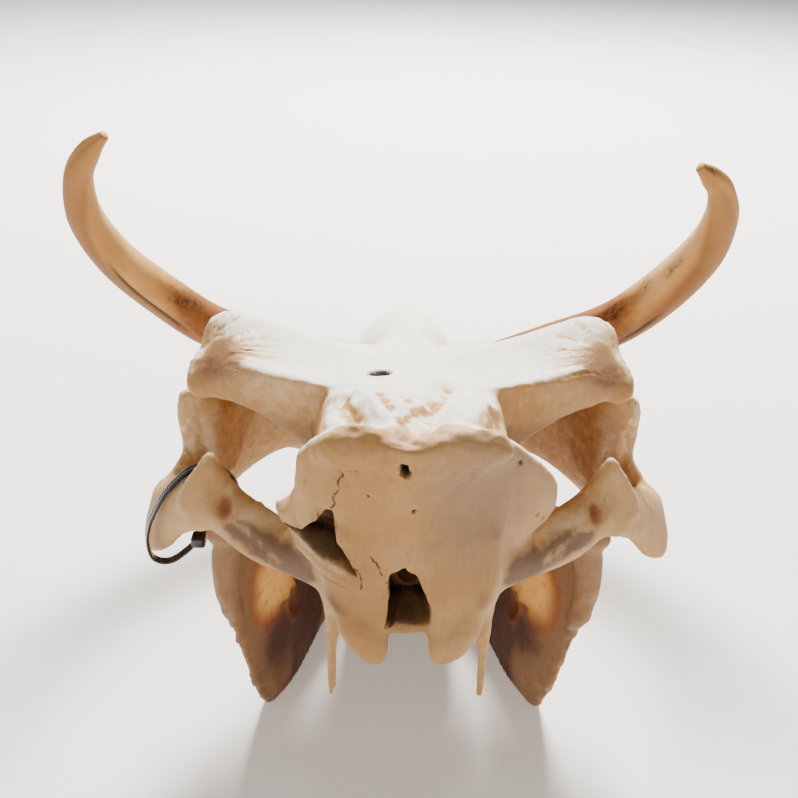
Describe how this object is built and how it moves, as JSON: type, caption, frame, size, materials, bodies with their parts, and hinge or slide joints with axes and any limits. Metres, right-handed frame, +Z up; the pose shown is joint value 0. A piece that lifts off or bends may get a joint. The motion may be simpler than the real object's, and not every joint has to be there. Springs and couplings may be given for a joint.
{
  "type": "warthog skull",
  "caption": "Weathered warthog skull with its lower jaw and long curved upper tusks, resting on the jaw's lower border, with a black cable tie looped round the left cheekbone.",
  "frame": {"origin": "on the floor plane, under the middle of the skull's length and width", "axes": "+Y forward to the snout, +X to the skull's right, +Z up from the floor it rests on"},
  "size_m": [0.3958, 0.3956, 0.2621],
  "materials": {
    "cranium_bone": "matte weathered bone, bleached on top and tan in the shade",
    "jaw_bone": "matte bone stained brown, thin enough to glow amber against the sun",
    "ivory": "semi-gloss golden ivory with long shallow grooves and brown stains at the base",
    "tooth": "worn semi-gloss enamel",
    "tie_plastic": "glossy black"
  },
  "bodies": {
    "root": {"cranium": "cranium_bone", "mandible": "jaw_bone", "upper_tusk_left": "ivory", "upper_tusk_right": "ivory", "lower_tusk_left": "ivory", "lower_tusk_right": "ivory", "upper_cheek_teeth_left": "tooth", "upper_cheek_teeth_right": "tooth", "lower_cheek_teeth_left": "tooth", "lower_cheek_teeth_right": "tooth", "cable_tie": "tie_plastic"}
  },
  "joints": []
}
